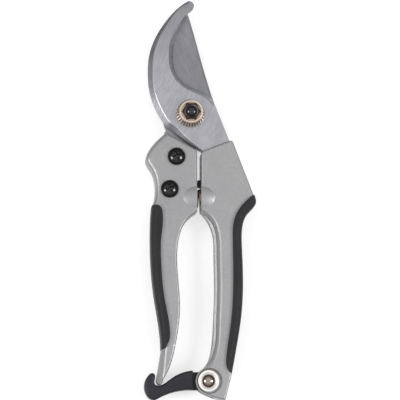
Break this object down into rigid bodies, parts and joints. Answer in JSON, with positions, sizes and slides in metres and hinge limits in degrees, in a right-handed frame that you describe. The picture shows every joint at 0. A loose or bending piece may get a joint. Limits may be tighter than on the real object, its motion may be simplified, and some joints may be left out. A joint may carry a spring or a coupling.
{
  "type": "bypass pruner",
  "caption": "Hand pruner with a curved counter blade, a bypass cutting blade, cast handles with soft grips, a coil spring and a swing latch at the handle end.",
  "frame": {"origin": "on the pivot's axis, at the flat back of the pivot bolt's head, which lies in the plane that the pruner rests on", "axes": "+Y from the handles to the blade's tip, +Z along the pivot's axis, out of the front where the toothed nut is, +X from the latch's catch to the latch's rivet"},
  "size_m": [0.0566, 0.2057, 0.0226],
  "materials": {
    "cast_handle": "satin grey painted casting",
    "grip_rubber": "matte soft rubber",
    "hook_steel": "brushed",
    "blade_steel": "brushed, darker",
    "yellow_zinc": "yellow zinc plate",
    "black_steel": "gloss black oxide",
    "bright_steel": "bright turned steel",
    "bush_bronze": "plain bronze",
    "spring_steel": "oiled spring wire",
    "latch_plastic": "fine matte"
  },
  "bodies": {
    "right_handle": {"right_handle": "cast_handle", "right_grip": "grip_rubber", "hook": "hook_steel", "hook_rivets": "bright_steel", "pivot_bolt": "bright_steel", "pivot_washer": "bright_steel", "toothed_nut": "yellow_zinc", "cap_nut": "black_steel", "bumper": "grip_rubber", "latch_rivet": "bright_steel", "latch_front_cup": "bright_steel", "latch_back_cup": "bright_steel", "latch_bush": "bush_bronze"},
    "left_handle": {"left_handle": "cast_handle", "left_grip": "grip_rubber", "cutting_blade": "blade_steel", "pivot_bush": "bush_bronze", "blade_screws": "black_steel", "spring": "spring_steel"},
    "latch": {"latch": "latch_plastic"}
  },
  "joints": [
    {"name": "handle_pivot", "type": "hinge", "parent": "right_handle", "child": "left_handle", "pos_m": [0, 0, 0.0074], "axis": [0, 0, -1], "range_deg": [0, 28], "deforming": ["spring"]},
    {"name": "latch_swing", "type": "hinge", "parent": "right_handle", "child": "latch", "pos_m": [0.0091, -0.137, 0.0084], "axis": [0, 0, 1], "range_deg": [0, 75]}
  ]
}
